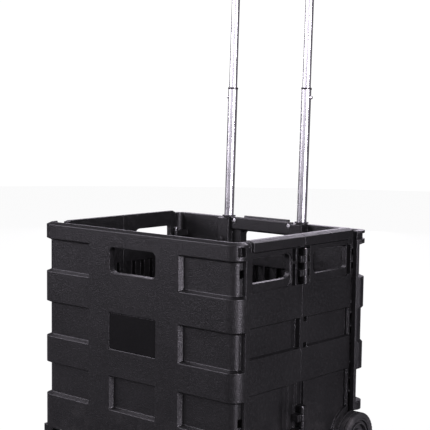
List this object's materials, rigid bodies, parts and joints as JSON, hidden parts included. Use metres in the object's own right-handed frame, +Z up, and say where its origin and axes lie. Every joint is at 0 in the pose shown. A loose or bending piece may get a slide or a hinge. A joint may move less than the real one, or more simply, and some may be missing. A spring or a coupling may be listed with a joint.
{
  "type": "folding crate trolley",
  "caption": "Folding plastic crate on two wheels with hinged sides, a lift-up floor and a telescopic pull handle with a soft grip.",
  "frame": {"origin": "on the ground, at the middle of the trolley's outline with its handle pulled out", "axes": "+Z up, +X to the right seen from the front, +Y from the front panel to the handle and wheels"},
  "size_m": [0.434, 0.3564, 0.9665],
  "materials": {
    "body_plastic": "fine textured",
    "label_plastic": "smooth satin",
    "tube_aluminium": "polished and anodised",
    "steel": "bright zinc",
    "fitting_plastic": "satin",
    "grip_plastic": "satin",
    "grip_rubber": "soft, ribbed",
    "foot_rubber": "matt",
    "hub_plastic": "satin",
    "tyre_rubber": "matt tread"
  },
  "bodies": {
    "back_frame": {"back_panel": "body_plastic", "back_corner_pins": "steel", "back_grip_plate": "body_plastic", "grip_plate_screws": "steel", "floor_hinge_rod": "steel", "outer_tube_right": "tube_aluminium", "outer_tube_left": "tube_aluminium", "outer_tube_plugs": "fitting_plastic", "tube_bushes": "fitting_plastic", "axle": "steel", "axle_spacers": "fitting_plastic", "axle_caps": "fitting_plastic"},
    "right_back_half": {"right_back_side": "body_plastic", "right_centre_pins": "steel"},
    "right_front_half": {"right_front_side": "body_plastic"},
    "left_back_half": {"left_back_side": "body_plastic", "left_centre_pins": "steel"},
    "left_front_half": {"left_front_side": "body_plastic"},
    "front_frame": {"front_panel": "body_plastic", "label_plate": "label_plastic", "front_corner_pins": "steel", "foot_pads": "foot_rubber"},
    "floor": {"floor_panel": "body_plastic"},
    "lower_stage": {"middle_tube_right": "tube_aluminium", "middle_tube_left": "tube_aluminium", "middle_tube_collars": "fitting_plastic", "middle_tube_plugs": "fitting_plastic"},
    "upper_stage": {"inner_tube_right": "tube_aluminium", "inner_tube_left": "tube_aluminium", "inner_tube_plugs": "fitting_plastic", "snap_springs": "steel", "grip_front_shell": "grip_plastic", "grip_back_shell": "grip_plastic", "grip_sleeve": "grip_rubber", "grip_screws": "steel"},
    "right_snap": {"snap_button_right": "fitting_plastic"},
    "left_snap": {"snap_button_left": "fitting_plastic"},
    "right_lock": {"lock_button_right": "fitting_plastic"},
    "left_lock": {"lock_button_left": "fitting_plastic"},
    "right_wheel": {"wheel_hub_right": "hub_plastic", "wheel_tyre_right": "tyre_rubber"},
    "left_wheel": {"wheel_hub_left": "hub_plastic", "wheel_tyre_left": "tyre_rubber"}
  },
  "joints": [
    {"name": "right_back_fold", "type": "hinge", "parent": "back_frame", "child": "right_back_half", "pos_m": [0.186, 0.12175, 0.22], "axis": [0, 0, -1], "range_deg": [0, 90]},
    {"name": "right_centre_fold", "type": "hinge", "parent": "right_back_half", "child": "right_front_half", "pos_m": [0.2052, -0.00925, 0.22], "axis": [0, 0, 1], "range_deg": [0, 180]},
    {"name": "right_front_fold", "type": "hinge", "parent": "right_front_half", "child": "front_frame", "pos_m": [0.186, -0.14025, 0.22], "axis": [0, 0, -1], "range_deg": [0, 90]},
    {"name": "left_back_fold", "type": "hinge", "parent": "back_frame", "child": "left_back_half", "pos_m": [-0.186, 0.12175, 0.22], "axis": [0, 0, 1], "range_deg": [0, 90]},
    {"name": "left_centre_fold", "type": "hinge", "parent": "left_back_half", "child": "left_front_half", "pos_m": [-0.2052, -0.00925, 0.22], "axis": [0, 0, -1], "range_deg": [0, 180]},
    {"name": "floor_fold", "type": "hinge", "parent": "back_frame", "child": "floor", "pos_m": [0, 0.1235, 0.03475], "axis": [-1, 0, 0], "range_deg": [0, 90]},
    {"name": "lower_tube_slide", "type": "slide", "parent": "back_frame", "child": "lower_stage", "axis": [0, 0.0297, 0.9996], "range_m": [-0.2, 0]},
    {"name": "upper_tube_slide", "type": "slide", "parent": "lower_stage", "child": "upper_stage", "axis": [0, 0.0297, 0.9996], "range_m": [-0.249, 0]},
    {"name": "right_snap_press", "type": "slide", "parent": "lower_stage", "child": "right_snap", "axis": [-1, 0, 0], "range_m": [0, 0.002], "stiffness_N_per_m": 400},
    {"name": "left_snap_press", "type": "slide", "parent": "lower_stage", "child": "left_snap", "axis": [1, 0, 0], "range_m": [0, 0.002], "stiffness_N_per_m": 400},
    {"name": "right_lock_press", "type": "slide", "parent": "back_frame", "child": "right_lock", "axis": [0, 1, 0], "range_m": [0, 0.0012], "stiffness_N_per_m": 600},
    {"name": "left_lock_press", "type": "slide", "parent": "back_frame", "child": "left_lock", "axis": [0, 1, 0], "range_m": [0, 0.0012], "stiffness_N_per_m": 600},
    {"name": "right_wheel_spin", "type": "hinge", "parent": "back_frame", "child": "right_wheel", "pos_m": [0.203, 0.13775, 0.0405], "axis": [1, 0, 0], "continuous": true},
    {"name": "left_wheel_spin", "type": "hinge", "parent": "back_frame", "child": "left_wheel", "pos_m": [-0.203, 0.13775, 0.0405], "axis": [1, 0, 0], "continuous": true}
  ],
  "couplings": [
    {"joint": "right_centre_fold", "follows": "right_back_fold", "ratio": 2},
    {"joint": "right_front_fold", "follows": "right_back_fold", "ratio": 1},
    {"joint": "left_back_fold", "follows": "right_back_fold", "ratio": 1},
    {"joint": "left_centre_fold", "follows": "right_back_fold", "ratio": 2}
  ]
}
